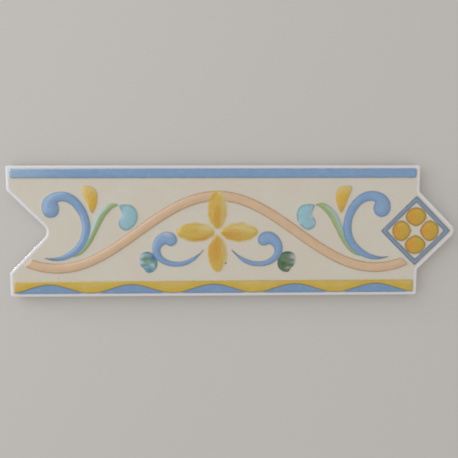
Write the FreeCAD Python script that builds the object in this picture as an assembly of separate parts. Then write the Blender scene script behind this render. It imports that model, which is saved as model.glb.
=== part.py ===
"""A glazed border tile, pressed and fired as one piece, face up on its keyed back.

The body is 250 x 80 mm. Its left end has a V notch and its right end a point, so that each tile takes the
next one's point in its notch with an even joint. The face carries low relief: a strip along the top edge, a
strip with a wavy line along the bottom edge, a waving vine, and scrolls, leaves, drops, buds and petals that
mirror each other about one axis, with a square frame of four petals on the point.

Frame: millimetres, X along the tile towards the point, Y across it towards the plain strip, Z up out of the
face. The origin is on the back, at the middle of the 250 x 80 mm body.
"""

import FreeCAD
import Part

import math
import os

from FreeCAD import Vector

# Body
tile_length = 250.0
tile_width = 80.0
body_thickness = 8.0
joint_width = 2.4
point_half_width = 24.0
tip_radius = 4.8
root_radius = 4.8
corner_radius = 1.6
mouth_radius = 3.0
shoulder_radius = 2.0
arris_radius = 1.5
back_chamfer = 0.5

# Keyed back
rim_land = 7.0
groove_depth = 0.8
groove_width = 4.0
groove_pitch = 8.0
groove_flare = 0.4

# Relief
relief_height = 0.9
crown_ratio = 0.2
root_depth = 0.3
edge_margin = 2.0
# Half of a stroke's rounded section, from its foot to its crown: share of the half width, share of the height
HALF_SECTION = [
    (1.0, 0.0),
    (0.64, 0.66),
    (0.28, 1.0),
]

# Straight strips along the two long edges
strip_end_margin = 2.6
strip_width = 5.6
strip_height = 0.6
strip_end_radius = 1.4
strip_edge_bevel = 0.3
wave_strip_width = 7.7
wave_base_height = 0.3
wave_length = 50.0
wave_amplitude = 2.6
wave_middle_from_edge = 5.0
wave_shift = -1.0

# Frame and petals on the point
frame_margin = 3.2
frame_half_diagonal = 21.5
frame_bar_width = 2.8
frame_petal_count = 4
frame_petal_start = 2.7

# Vine
ornament_axis_x = 1.5
vine_width = 6.0
vine_amplitude = 22.0
vine_middle_y = -0.4
vine_half_wave = 97.0
vine_notch_gap = 2.2
vine_frame_gap = 4.0
vine_stations_per_half_wave = 6

# Strokes of the ornament right of its mirror axis: distance from the axis, y, width
LARGE_SCROLL = [
    (106.0, -15.8, 0.4),
    (100.0, -16.6, 1.7),
    (94.5, -15.9, 2.9),
    (88.7, -13.4, 3.9),
    (84.0, -9.6, 4.7),
    (80.5, -4.0, 5.0),
    (79.3, 3.0, 5.1),
    (80.6, 10.0, 5.1),
    (84.1, 16.3, 5.3),
    (88.6, 20.2, 5.6),
    (93.6, 21.4, 5.8),
    (98.2, 20.2, 6.7),
    (100.4, 17.5, 8.6),
    (100.4, 14.3, 10.4),
    (99.7, 11.5, 9.4),
    (99.2, 9.8, 6.2),
    (99.0, 8.8, 1.4),
]

SMALL_SCROLL = [
    (8.5, -11.2, 0.4),
    (11.8, -14.5, 1.1),
    (15.8, -17.4, 2.2),
    (20.5, -19.4, 3.0),
    (25.5, -20.0, 3.4),
    (30.6, -19.1, 3.7),
    (34.7, -16.6, 4.1),
    (37.0, -12.8, 4.6),
    (36.9, -8.8, 5.4),
    (34.4, -5.6, 6.8),
    (31.0, -4.3, 7.9),
    (28.0, -4.7, 7.6),
    (26.0, -5.3, 5.0),
    (25.1, -5.6, 1.2),
]

LEAF = [
    (59.8, 16.2, 0.6),
    (63.6, 15.7, 2.9),
    (67.1, 13.4, 4.3),
    (70.3, 9.7, 4.8),
    (73.6, 3.5, 4.5),
    (77.0, -4.0, 3.6),
    (80.6, -9.7, 2.9),
    (84.2, -13.2, 2.0),
    (88.0, -15.2, 0.6),
]

YELLOW_DROP = [
    (75.4, 11.3, 0.6),
    (75.4, 14.0, 3.6),
    (75.7, 18.0, 6.5),
    (76.5, 22.0, 8.7),
    (77.3, 25.0, 9.2),
    (77.8, 26.7, 7.4),
    (78.0, 27.6, 3.6),
]

AQUA_DROP = [
    (57.0, 16.5, 1.4),
    (55.9, 15.2, 5.4),
    (54.2, 12.8, 8.0),
    (53.3, 9.8, 9.2),
    (53.7, 7.0, 10.4),
    (54.3, 4.6, 9.9),
    (54.4, 2.5, 7.6),
    (54.4, 1.0, 1.6),
]

# Flower on the mirror axis: distance along a petal from the flower's middle, width
flower_centre_y = -0.4
FLOWER_PETAL = [
    (2.0, 0.8),
    (5.0, 5.6),
    (9.0, 9.9),
    (13.0, 11.4),
    (17.0, 10.3),
    (20.5, 7.4),
    (23.0, 4.0),
    (24.3, 0.9),
]

# Petal of the framed rosette: distance along the petal from where it starts, width
FRAME_PETAL = [
    (0.0, 1.6),
    (1.0, 4.6),
    (2.4, 8.4),
    (4.4, 11.4),
    (6.4, 12.2),
    (8.6, 11.2),
    (10.4, 8.0),
    (11.2, 5.0),
    (11.6, 2.0),
]

# Bud: fingers fan out from a base beside the small scroll
BUD_BASE = (37.4, -18.2)
BUD_FINGER_ANGLES = (33.0, 6.0, -22.0, -52.0)
BUD_FINGER_LENGTHS = (10.0, 10.9, 10.2, 8.6)
# Share of a finger's length, width
BUD_FINGER = [
    (0.0, 1.4),
    (0.3, 4.6),
    (0.62, 5.6),
    (0.87, 4.2),
    (1.0, 1.0),
]

root_two = math.sqrt(2.0)
notch_half_width = point_half_width + joint_width * (root_two - 1.0)
face_z = body_thickness
frame_centre_x = tile_length / 2 + point_half_width - frame_margin * root_two - frame_half_diagonal


def rounded_polygon(corners):
    """Closed wire through (x, y, radius) corners, with a tangent arc of that radius at each corner."""
    edges = []
    arc_ends = []
    for i, (x, y, radius) in enumerate(corners):
        corner = Vector(x, y, 0)
        before = Vector(*corners[i - 1][:2], 0) - corner
        after = Vector(*corners[(i + 1) % len(corners)][:2], 0) - corner
        before.normalize()
        after.normalize()
        half_angle = before.getAngle(after) / 2
        setback = radius / math.tan(half_angle)
        bisector = (before + after).normalize()
        start = corner + before * setback
        end = corner + after * setback
        middle = corner + bisector * (radius / math.sin(half_angle) - radius)
        edges.append(Part.Arc(start, middle, end).toShape())
        arc_ends.append((start, end))
    count = len(corners)
    lines = [Part.makeLine(arc_ends[i][1], arc_ends[(i + 1) % count][0]) for i in range(count)]
    return Part.Wire(Part.__sortEdges__(edges + lines))


def outline():
    """The tile's outline: a rectangle with the V notch cut into its left end and the point on its right."""
    right = tile_length / 2
    top = tile_width / 2
    return rounded_polygon(
        [
            (right, -top, corner_radius),
            (right, -point_half_width, shoulder_radius),
            (right + point_half_width, 0, tip_radius),
            (right, point_half_width, shoulder_radius),
            (right, top, corner_radius),
            (-right, top, corner_radius),
            (-right, notch_half_width, mouth_radius),
            (-right + notch_half_width, 0, root_radius),
            (-right, -notch_half_width, mouth_radius),
            (-right, -top, corner_radius),
        ]
    )


def body():
    """The pressed slab, with a rounded arris round its face and a small chamfer round its back."""
    slab = Part.Face(outline()).extrude(Vector(0, 0, body_thickness))
    rim = [e for e in slab.Edges if e.BoundBox.ZMin > body_thickness - 1e-6]
    slab = slab.makeFillet(arris_radius, rim)
    heel = [e for e in slab.Edges if e.BoundBox.ZMax < 1e-6]
    return slab.makeChamfer(back_chamfer, heel)


def back_grooves():
    """Flared grooves along the back, inside a plain land that follows the outline."""
    field = Part.Face(outline().makeOffset2D(-rim_land))
    window = field.extrude(Vector(0, 0, groove_depth))
    reach = tile_length / 2 + point_half_width
    half_mouth = groove_width / 2 + groove_flare
    row_count = int((tile_width / 2 - rim_land) / groove_pitch)
    grooves = []
    for side in (-1, 1):
        for row in range(row_count):
            y = side * groove_pitch * (row + 0.5)
            section = Part.makePolygon(
                [
                    Vector(-reach, y - half_mouth, 0),
                    Vector(-reach, y + half_mouth, 0),
                    Vector(-reach, y + groove_width / 2, groove_depth),
                    Vector(-reach, y - groove_width / 2, groove_depth),
                    Vector(-reach, y - half_mouth, 0),
                ]
            )
            grooves.append(Part.Face(section).extrude(Vector(2 * reach, 0, 0)))
    return window.common(Part.makeCompound(grooves))


def crown(width):
    """Height of a rounded stroke of this width: narrow strokes stay lower than the full relief."""
    return relief_height * math.tanh(crown_ratio * width / relief_height)


def stroke_section(centre, across, width):
    """Closed section of a rounded stroke, width wide where it stands on the face and reaching a little below."""
    height = crown(width)
    half_width = width / 2
    half = [(share * half_width, rise * height) for share, rise in HALF_SECTION]
    flare = (half[0][0] - half[1][0]) / half[1][1]
    half[0] = (half_width + root_depth * flare, -root_depth)
    profile = half + [(-offset, rise) for offset, rise in reversed(half)] + half[:1]
    base = Vector(centre.x, centre.y, face_z)
    return Part.makePolygon([base + across * offset + Vector(0, 0, rise) for offset, rise in profile])


def bead(rows):
    """Rounded raised stroke through (x, y, width) rows."""
    spine = Part.BSplineCurve()
    spine.interpolate([Vector(x, y, 0) for x, y, _ in rows])
    sections = []
    for x, y, width in rows:
        centre = Vector(x, y, 0)
        along = spine.tangent(spine.parameter(centre))[0]
        across = Vector(-along.y, along.x, 0)
        sections.append(stroke_section(centre, across, width))
    return Part.makeLoft(sections, True, False)


def mirrored_pair(shape):
    """A shape right of the mirror axis, and its mirror image left of it."""
    placed = shape.translated(Vector(ornament_axis_x, 0, 0))
    return [placed, placed.mirror(Vector(ornament_axis_x, 0, 0), Vector(1, 0, 0))]


def bud():
    """Fluted bud: short rounded fingers that fan out from one base."""
    fingers = []
    for angle, length in zip(BUD_FINGER_ANGLES, BUD_FINGER_LENGTHS):
        dx = length * math.cos(math.radians(angle))
        dy = length * math.sin(math.radians(angle))
        rows = [(BUD_BASE[0] + share * dx, BUD_BASE[1] + share * dy, width) for share, width in BUD_FINGER]
        fingers.append(bead(rows))
    return fingers[0].multiFuse(fingers[1:])


def flower():
    """Four long petals round the flower's middle."""
    petal = bead([(along, 0, width) for along, width in FLOWER_PETAL])
    middle = Vector(ornament_axis_x, flower_centre_y, 0)
    petals = []
    for quarter in range(4):
        turned = petal.rotated(Vector(0, 0, 0), Vector(0, 0, 1), 90 * quarter)
        petals.append(turned.translated(middle))
    return petals


def vine():
    """Wave-shaped stroke from the notch's edge to the frame, cut parallel to both."""
    first_x = -tile_length / 2
    last_x = frame_centre_x
    step = vine_half_wave / vine_stations_per_half_wave
    count = math.ceil((last_x - first_x) / step)
    rows = []
    for i in range(count + 1):
        x = first_x + (last_x - first_x) * i / count
        y = vine_middle_y + vine_amplitude * math.cos(math.pi * (x - ornament_axis_x) / vine_half_wave)
        rows.append((x, y, vine_width))
    long_vine = bead(rows)
    return long_vine.common(vine_limits())


def vine_limits():
    """Block that ends the vine parallel to the notch's lower face and to the frame's lower side."""
    slant = (vine_notch_gap + arris_radius) * root_two
    notch_x = -tile_length / 2 + notch_half_width + slant
    frame_x = frame_centre_x - frame_half_diagonal - vine_frame_gap / root_two
    low = tile_width / 2
    corners = [
        Vector(notch_x, 0, 0),
        Vector(notch_x - low, -low, 0),
        Vector(frame_x + low, -low, 0),
        Vector(frame_x, 0, 0),
        Vector(frame_x, low, 0),
        Vector(notch_x, low, 0),
        Vector(notch_x, 0, 0),
    ]
    return Part.Face(Part.makePolygon(corners)).extrude(Vector(0, 0, 2 * body_thickness))


def strip_block(y_low, y_high, height):
    """Flat raised strip between the end margins, with rounded ends and a bevelled upper edge."""
    x_end = tile_length / 2 - strip_end_margin
    end_radius = min(strip_end_radius, 0.45 * (y_high - y_low))
    plan = rounded_polygon(
        [
            (x_end, y_low, end_radius),
            (x_end, y_high, end_radius),
            (-x_end, y_high, end_radius),
            (-x_end, y_low, end_radius),
        ]
    )
    plan.translate(Vector(0, 0, face_z - root_depth))
    block = Part.Face(plan).extrude(Vector(0, 0, height + root_depth))
    rim = [e for e in block.Edges if e.BoundBox.ZMin > face_z + height - 1e-6]
    return block.makeChamfer(min(strip_edge_bevel, 0.8 * height), rim)


def plain_strip():
    """The strip along the top edge."""
    y_high = tile_width / 2 - edge_margin
    return strip_block(y_high - strip_width, y_high, strip_height)


def wave_strip():
    """The strip along the bottom edge: a low base, and above a wavy line a higher part."""
    y_low = -tile_width / 2 + edge_margin
    y_high = y_low + wave_strip_width
    base = strip_block(y_low, y_high, wave_base_height)
    high = strip_block(y_low, y_high, strip_height)
    middle_y = -tile_width / 2 + wave_middle_from_edge
    x_first = -tile_length / 2
    quarter = wave_length / 4
    count = math.ceil(tile_length / quarter)
    points = []
    for i in range(count + 1):
        x = x_first + quarter * i
        y = middle_y + wave_amplitude * math.cos(2 * math.pi * (x - wave_shift) / wave_length)
        points.append(Vector(x, y, 0))
    line = Part.BSplineCurve()
    line.interpolate(points)
    above = tile_width / 2
    sides = Part.makePolygon(
        [points[-1], Vector(points[-1].x, above, 0), Vector(points[0].x, above, 0), points[0]]
    )
    keep = Part.Face(Part.Wire([line.toShape()] + sides.Edges)).extrude(Vector(0, 0, 2 * body_thickness))
    return [base, high.common(keep)]


def frame_bars():
    """Square frame standing on its corner, with a rounded bar and mitred corners."""
    reach = frame_half_diagonal - frame_bar_width / root_two
    corners = [
        Vector(frame_centre_x + reach, 0, 0),
        Vector(frame_centre_x, reach, 0),
        Vector(frame_centre_x - reach, 0, 0),
        Vector(frame_centre_x, -reach, 0),
    ]
    bars = []
    for i, start in enumerate(corners):
        end = corners[(i + 1) % 4]
        along = (end - start).normalize()
        across = Vector(-along.y, along.x, 0)
        overrun = along * frame_bar_width
        section = stroke_section(start - overrun, across, frame_bar_width)
        bar = Part.Face(section).extrude(end - start + overrun * 2)
        bars.append(bar.common(mitre_block(start, end)))
    return bars


def mitre_block(start, end):
    """Triangle from the frame's middle through two neighbouring corners, which mitres the bar between them."""
    middle = Vector(frame_centre_x, 0, 0)
    far_start = middle + (start - middle) * 2
    far_end = middle + (end - middle) * 2
    triangle = Part.Face(Part.makePolygon([middle, far_start, far_end, middle]))
    return triangle.extrude(Vector(0, 0, 2 * body_thickness))


def frame_petals():
    """Four plump petals inside the frame."""
    petal = bead([(frame_petal_start + along, 0, width) for along, width in FRAME_PETAL])
    petals = []
    for i in range(frame_petal_count):
        turned = petal.rotated(Vector(0, 0, 0), Vector(0, 0, 1), 360 / frame_petal_count * i)
        petals.append(turned.translated(Vector(frame_centre_x, 0, 0)))
    return petals


def relief():
    """Every raised form on the face."""
    forms = [vine(), plain_strip()]
    forms += wave_strip()
    for rows in (LARGE_SCROLL, SMALL_SCROLL, LEAF, YELLOW_DROP, AQUA_DROP):
        forms += mirrored_pair(bead(rows))
    forms += mirrored_pair(bud())
    forms += flower()
    forms += frame_bars()
    forms += frame_petals()
    return forms


def border_tile():
    """The whole tile as one solid."""
    slab = body().cut(back_grooves())
    return slab.multiFuse(relief()).removeSplitter().Solids[0]


os.makedirs("parts", exist_ok=True)
tile = border_tile()
tile.exportStep("parts/border_tile.step")
print("border_tile", tile.ShapeType, round(tile.Volume), "mm3", "valid" if tile.isValid() else "not valid")
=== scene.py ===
"""Looks of the glazed border tile: its soft relief, painted ornament, glaze, arris and bare keyed back.

Shapes are worked out in millimetres, in the frame of the CAD model, and turned into metres when the mesh
is made.
"""

import math

import bpy
import numpy as np
from mathutils import Matrix, Vector
from mathutils.geometry import delaunay_2d_cdt


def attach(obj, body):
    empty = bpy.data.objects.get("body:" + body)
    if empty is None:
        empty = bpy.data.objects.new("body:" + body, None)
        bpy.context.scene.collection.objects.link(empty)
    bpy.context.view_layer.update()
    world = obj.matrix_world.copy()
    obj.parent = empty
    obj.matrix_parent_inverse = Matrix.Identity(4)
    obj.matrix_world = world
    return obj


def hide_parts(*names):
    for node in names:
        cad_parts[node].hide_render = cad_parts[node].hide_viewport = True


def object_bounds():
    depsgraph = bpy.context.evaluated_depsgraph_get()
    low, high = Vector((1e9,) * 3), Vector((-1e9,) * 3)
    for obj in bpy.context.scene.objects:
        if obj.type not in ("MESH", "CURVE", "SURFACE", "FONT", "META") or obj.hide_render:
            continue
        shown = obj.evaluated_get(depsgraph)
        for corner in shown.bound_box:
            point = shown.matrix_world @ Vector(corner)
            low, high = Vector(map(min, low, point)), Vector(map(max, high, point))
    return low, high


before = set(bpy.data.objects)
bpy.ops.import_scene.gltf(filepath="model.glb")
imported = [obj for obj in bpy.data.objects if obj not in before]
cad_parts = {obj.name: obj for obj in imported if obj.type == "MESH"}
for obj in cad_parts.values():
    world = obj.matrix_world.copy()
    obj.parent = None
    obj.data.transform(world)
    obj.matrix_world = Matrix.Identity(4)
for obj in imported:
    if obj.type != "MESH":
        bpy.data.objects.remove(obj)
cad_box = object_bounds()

MM = 0.001

# The tile's body, the same values as the CAD model's
tile_length = 250.0
tile_width = 80.0
body_thickness = 8.0
joint_width = 2.4
point_half_width = 24.0
tip_radius = 4.8
root_radius = 4.8
corner_radius = 1.6
mouth_radius = 3.0
shoulder_radius = 2.0
arris_width = 1.55
arris_drop = 0.9
back_chamfer = 0.5
rim_land = 7.0
groove_depth = 0.8
groove_width = 4.0
groove_pitch = 8.0
groove_flare = 0.4
notch_half_width = point_half_width + joint_width * (math.sqrt(2) - 1)

# The relief
relief_height = 0.87
crown_ratio = 0.2
edge_margin = 2.0
foot_softness = 0.25
strip_end_margin = 2.6
strip_width = 5.6
strip_height = 0.6
strip_end_radius = 1.4
wave_strip_width = 7.7
wave_base_height = 0.3
wave_length = 50.0
wave_amplitude = 2.6
wave_middle_from_edge = 5.0
wave_shift = -1.0
frame_margin = 3.2
frame_half_diagonal = 21.5
frame_bar_width = 2.8
frame_petal_start = 2.7
frame_centre_x = tile_length / 2 + point_half_width - frame_margin * math.sqrt(2) - frame_half_diagonal
ornament_axis_x = 1.5
vine_width = 6.0
vine_amplitude = 22.0
vine_middle_y = -0.4
vine_half_wave = 97.0
vine_notch_gap = 3.7
vine_frame_gap = 4.0
flower_centre_y = -0.4
bud_height = 0.75
bud_groove_depth = 0.3
drop_height = 0.8
frame_petal_height = 0.84
frame_corner_softness = 0.5
seam_softness = 0.06
cushion_power = 0.8
strip_slope_reach = 0.75
strip_foot_reach = 0.6
wave_step_reach = 0.35

# The vine's slanted ends: how steeply they go down, and how softly they are cut off in plan and in height
cut_slope = 0.7
cut_softness = 1.2
cut_height_softness = 0.2

# The glaze's end on the sides: its height, then waves as rise, number round the tile, shift
glaze_line_height = 2.3
GLAZE_LINE_WAVES = [(0.5, 7, 0), (0.35, 17, 1), (0.2, 41, 2)]

# Fineness of the curves: steps along them, points in a radian, pieces between two given points
outline_step = 1.0
stroke_step = 0.5
arc_fineness = 9
curve_pieces = 6
thinnest_radius = 0.03
steepest_taper = 0.95

# The grid on which a cushion swells, and how far round each form the face is worked out
cushion_grid = 0.25
cushion_rounds = 1200
form_reach = 1.6

# The face's mesh: fine on the forms and close round them, coarse elsewhere
lattice_step = 0.45
coarse_every = 4
fine_reach = 0.75
flat_inside = 1.0
wave_fine_reach = 0.8
rim_gap = 0.3
arris_steps = 11
groove_points = 7

# Strength of the darker line inside each form's edge; a form with none is loosely painted
vine_line = 0.6
leaf_line = 0.6
scroll_line = 0.7
bud_line = 0.35
drop_line = 0.5
loose_line = 0.0
frame_line = 0.5
plain_strip_line = 0.7
wavy_strip_line = 0.5
bud_dab_strength = 0.95

# Loose paint: how far past the relief it reaches, and how much further where another form lies below
loose_reach = 1.5
loose_overlap = 2.4

# Depth in metres of the fine unevenness of each material
glaze_bump = 0.00006
biscuit_bump = 0.00012

# The camera: view in degrees, place in millimetres, turns in degrees
camera_view = 50.0
CAMERA_PLACE = (1.98, 29.81, 305.32)
CAMERA_TURNS = [("Z", -0.081), ("Y", -1.266), ("X", -5.441)]

# Height where there is no form, and distance where every form is far away
NO_FORM = -1.0
FAR = 9.0

# Material slots, and how many bands of the sides, from the back, are bare
GLAZED = 0
BARE = 1
bare_bands = 2

# Strokes right of the mirror axis: distance from the axis, y, width
LARGE_SCROLL = [
    (105.2, -15.9, 0.4), (100.0, -16.6, 1.6), (94.5, -15.9, 2.9), (88.7, -13.4, 3.9), (84.0, -9.6, 4.7),
    (80.5, -4.0, 5.0), (79.3, 3.0, 5.1), (80.6, 10.0, 5.1), (84.1, 16.3, 5.3), (88.6, 20.2, 5.6),
    (93.6, 21.4, 5.8), (98.2, 20.2, 6.7), (100.4, 17.5, 8.6), (100.4, 14.3, 10.4), (99.7, 11.5, 9.4),
    (99.2, 9.8, 6.2), (99.0, 8.8, 1.4),
]
SMALL_SCROLL = [
    (8.5, -11.2, 0.4), (11.8, -14.5, 1.1), (15.8, -17.4, 2.4), (20.5, -19.4, 2.8), (25.5, -20.0, 3.0),
    (30.6, -19.1, 3.3), (34.7, -16.6, 3.8), (37.0, -12.8, 4.6), (36.9, -8.8, 5.4), (34.4, -5.4, 6.8),
    (31.4, -4.0, 7.7), (28.8, -4.6, 7.8), (27.6, -6.4, 6.0), (27.5, -8.6, 1.0),
]
LEAF = [
    (59.8, 16.2, 0.6), (63.6, 15.7, 2.9), (67.1, 13.4, 4.3), (70.3, 9.7, 4.8), (73.6, 3.5, 4.5),
    (77.0, -4.0, 3.6), (80.6, -9.7, 2.9), (84.2, -13.2, 2.0), (88.0, -15.2, 0.6),
]
FLOWER_PETAL = [
    (2.0, 0.8), (5.0, 5.6), (9.0, 9.9), (13.0, 11.4), (17.0, 10.3), (20.5, 7.2), (23.0, 3.8), (24.3, 0.9),
]
BLUNT_PETAL = FLOWER_PETAL[:4] + [(17.0, 10.2), (20.5, 8.4), (23.0, 7.4), (24.7, 7.0)]

# Closed outlines right of the mirror axis: distance from the axis, y
YELLOW_DROP = [
    (75.4, 11.3), (76.3, 12.2), (77.4, 14.6), (79.1, 19.0), (80.8, 23.0), (81.8, 26.0), (81.0, 27.4),
    (78.5, 27.7), (75.5, 27.1), (73.3, 25.7), (72.2, 23.2), (72.1, 20.0), (72.8, 16.4), (74.1, 13.0),
]
AQUA_DROP = [
    (59.1, 15.8), (57.0, 16.5), (53.0, 16.3), (50.0, 14.7), (48.5, 11.8), (48.3, 8.2), (49.6, 4.9),
    (52.0, 2.3), (54.6, 0.9), (57.0, 1.2), (59.0, 2.7), (59.9, 5.0), (59.4, 7.1), (58.2, 8.7), (57.6, 10.3),
    (57.9, 12.2), (58.7, 14.2),
]
# Closed outline of a bud, from its middle, with x outwards
BUD = [
    (4.7, 4.8), (2.9, 6.0), (0.4, 6.4), (-2.2, 5.8), (-4.3, 4.0), (-5.4, 0.9), (-5.3, -2.4), (-3.6, -5.1),
    (-0.9, -6.4), (1.3, -6.0), (2.2, -4.8), (3.1, -3.5), (4.5, -2.2), (5.4, 0.4), (5.4, 3.0),
]
BUD_MIDDLE = (42.2, -18.8)
# Closed outline of a petal in the square frame: along from its inner end, across
FRAME_PETAL = [
    (0.0, 0.0), (0.9, 2.3), (2.4, 4.6), (4.8, 6.2), (7.5, 6.1), (9.8, 4.6), (11.2, 2.4), (11.6, 0.0),
]
FRAME_PETAL += [(along, -across) for along, across in FRAME_PETAL[-2:0:-1]]

# Firing specks: x, y, half length, radius, strength
SPECKS = [
    (6.5, -19.5, 0.2, 0.4, 0.75),
    (-95.5, -28.5, 0.0, 0.3, 0.35),
    (-90.5, -28.0, 0.0, 0.25, 0.3),
    (117.0, -28.5, 2.0, 0.1, 0.2),
]


def tint(red, green, blue):
    """Linear colour of an sRGB colour given as 0 to 255."""
    share = np.array([red, green, blue]) / 255.0
    return np.where(share <= 0.04045, share / 12.92, ((share + 0.055) / 1.055) ** 2.4)


IVORY = tint(201, 199, 190)
WARM_IVORY = tint(201, 195, 184)
# Bluish white of the rim: thin glaze together with a painted sheen; also the white tips of the wavy strip's
# lobes
RIM_WHITE = tint(217, 220, 234)
BLUE = tint(115, 152, 196)
PALE_BLUE = tint(138, 170, 205)
DEEP_BLUE = tint(96, 132, 178)
TIP_BLUE = tint(84, 108, 132)
WORN_BLUE = tint(172, 186, 206)
PEACH = tint(206, 176, 146)
BURNT_PEACH = tint(184, 146, 98)
YELLOW = tint(199, 170, 62)
PALE_YELLOW = tint(204, 190, 134)
OCHRE = tint(194, 144, 28)
GOLD = tint(206, 168, 40)
STRIP_YELLOW = tint(196, 164, 32)
GREEN = tint(146, 172, 112)
DARK_LEAF = tint(120, 148, 90)
PALE_LEAF = tint(160, 186, 184)
AQUA = tint(140, 184, 200)
DEEP_AQUA = tint(112, 156, 174)
WORN_AND_GLINT_AQUA = tint(188, 204, 202)
# The frame bar's blue: paler as a painted highlight on its crown, darker as painted shade on its sides
LIT_FRAME_BLUE = tint(128, 150, 182)
SHADED_FRAME_BLUE = tint(98, 118, 144)
PETAL_YELLOW = tint(190, 158, 24)
PETAL_ORANGE = tint(204, 138, 20)
RUST = tint(146, 104, 24)
CLOUDY_IVORY = tint(192, 188, 176)
STREAK_TINT = (0.9, 0.915, 0.93)
# Dark olive of the wavy line: a painted outline together with painted shade at the step in the strip
EDGE_GREY = tint(84, 88, 82)
OUTLINE_AND_SHADE_OLIVE = tint(92, 96, 72)
POOL_GREY = tint(150, 146, 134)
SPECK_BROWN = tint(70, 62, 50)
BISCUIT = tint(206, 178, 148)
DULL_BISCUIT = tint(190, 160, 130)
DARK_BISCUIT = tint(160, 130, 104)
PALE_BISCUIT = tint(222, 206, 186)

# Brush dabs: x, y, reach in x, reach in y, turn, strength
SCROLL_WEAR = [(-29.2, -1.2, 3.4, 1.5, -12, 0.85)]
# Pale patches on the right turquoise drop: partly worn paint, partly painted glints of light
AQUA_WEAR_AND_GLINTS = [
    (51.0, 4.6, 1.0, 2.2, -20, 0.8),
    (59.2, 9.8, 0.9, 1.8, 0, 0.9),
    (60.4, 5.0, 0.9, 1.2, 0, 0.6),
    (58.8, 13.6, 0.6, 1.8, 0, 0.4),
]
# The same on a framed petal, from its middle
PETAL_ORANGE_DABS = [(-3.0, 0.4, 2.8, 4.6, -20, 0.8), (1.6, -3.6, 2.4, 1.6, 15, 0.5)]
# Paler gold dab on the upper part of each framed petal: a painted highlight
PETAL_HIGHLIGHT_DABS = [(0.4, 3.4, 2.6, 1.4, 0, 0.4)]
# Deep and faded dab of each flower petal, anticlockwise from the right: along, across, their reaches
FLOWER_DABS = [
    ((0.2, -0.5, 0.34, 0.9), (0.75, 0.8, 0.45, 0.8)),
    ((0.25, 0.15, 0.34, 0.6), (0.65, -0.95, 0.5, 0.5)),
    ((0.36, 0.8, 0.22, 0.35), (0.22, -0.7, 0.3, 0.6)),
    ((0.32, -0.4, 0.48, 0.85), (0.6, 1.05, 0.5, 0.45)),
]

# Dabs on the buds, from the bud's middle with x outwards: x, y, reach in x, reach in y, turn, colour
LEFT_BUD_BASE = tint(112, 154, 168)
LEFT_BUD_DABS = [
    (1.6, 4.6, 2.8, 1.0, 12, (132, 168, 172)),
    (4.4, 3.6, 2.0, 1.4, -10, (172, 198, 202)),
    (3.9, 1.9, 2.2, 0.6, -6, (108, 146, 168)),
    (4.3, 0.0, 2.3, 1.1, 0, (176, 208, 212)),
    (2.4, -2.1, 2.4, 0.9, 14, (58, 106, 138)),
    (-2.6, -1.4, 2.2, 1.1, 40, (168, 196, 208)),
    (0.8, -3.0, 2.6, 0.7, 24, (136, 178, 188)),
    (-0.6, -4.7, 2.2, 1.4, 24, (64, 126, 166)),
    (0.8, 1.6, 2.9, 1.9, -4, (64, 116, 80)),
    (-0.6, 0.4, 1.9, 1.0, 10, (124, 166, 112)),
    (-3.3, 3.0, 1.9, 2.6, 0, (44, 94, 138)),
    (0.2, 6.2, 3.8, 0.7, 4, (76, 108, 122)),
    (-4.9, -2.2, 0.7, 2.4, 0, (84, 112, 136)),
    (0.2, -6.3, 2.2, 0.6, 0, (80, 104, 130)),
    (5.7, 0.8, 1.1, 3.4, 0, (184, 194, 194)),
]
RIGHT_BUD_BASE = tint(70, 102, 76)
RIGHT_BUD_DABS = [
    (-2.6, 1.2, 2.4, 4.4, 0, (56, 100, 62)),
    (-1.4, -4.6, 2.6, 1.6, 0, (58, 88, 60)),
    (0.6, 3.8, 3.0, 1.0, 6, (86, 122, 106)),
    (4.4, 3.0, 2.2, 2.0, -10, (172, 184, 188)),
    (4.0, -0.6, 2.2, 1.3, 0, (136, 156, 152)),
    (3.0, 1.3, 2.4, 0.6, -6, (66, 94, 80)),
    (1.2, -3.4, 2.2, 0.9, 20, (148, 164, 154)),
    (2.4, -1.9, 2.0, 0.8, 20, (62, 88, 76)),
    (-1.9, -0.8, 1.5, 1.5, 0, (16, 72, 26)),
    (-2.1, 1.5, 1.2, 1.1, 0, (78, 128, 78)),
    (0.0, 0.9, 1.4, 1.0, 0, (98, 122, 78)),
    (0.2, 6.0, 3.8, 0.9, 4, (50, 76, 64)),
    (-4.9, -1.0, 0.8, 3.6, 0, (52, 82, 66)),
    (5.7, 0.9, 1.0, 3.2, 0, (180, 186, 182)),
]


def rounded_outline(corners):
    """Points and outward normals along a counter-clockwise outline of (x, y, radius) corners."""
    arcs = []
    for i, (x, y, radius) in enumerate(corners):
        corner = np.array([x, y])
        before = np.array(corners[i - 1][:2]) - corner
        after = np.array(corners[(i + 1) % len(corners)][:2]) - corner
        before /= np.linalg.norm(before)
        after /= np.linalg.norm(after)
        half = math.acos(before @ after) / 2
        turn = math.copysign(1.0, before[1] * after[0] - before[0] * after[1])
        centre = corner + (before + after) / np.linalg.norm(before + after) * radius / math.sin(half)
        start = corner + before * radius / math.tan(half) - centre
        sweep = turn * (math.pi - 2 * half)
        first = math.atan2(start[1], start[0])
        angles = first + sweep * np.linspace(0, 1, max(5, int(abs(sweep) * arc_fineness)))
        spokes = np.stack([np.cos(angles), np.sin(angles)], 1)
        arcs.append((centre + radius * spokes, spokes * turn))
    points, normals = [], []
    for i, (arc, spokes) in enumerate(arcs):
        points.append(arc)
        normals.append(spokes)
        end = arcs[(i + 1) % len(arcs)][0][0]
        count = int(np.linalg.norm(end - arc[-1]) / outline_step)
        shares = np.linspace(0, 1, count + 1)[1:-1, None]
        points.append(arc[-1] + (end - arc[-1]) * shares)
        normals.append(np.repeat(spokes[-1:], len(shares), 0))
    return np.concatenate(points), np.concatenate(normals)


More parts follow.
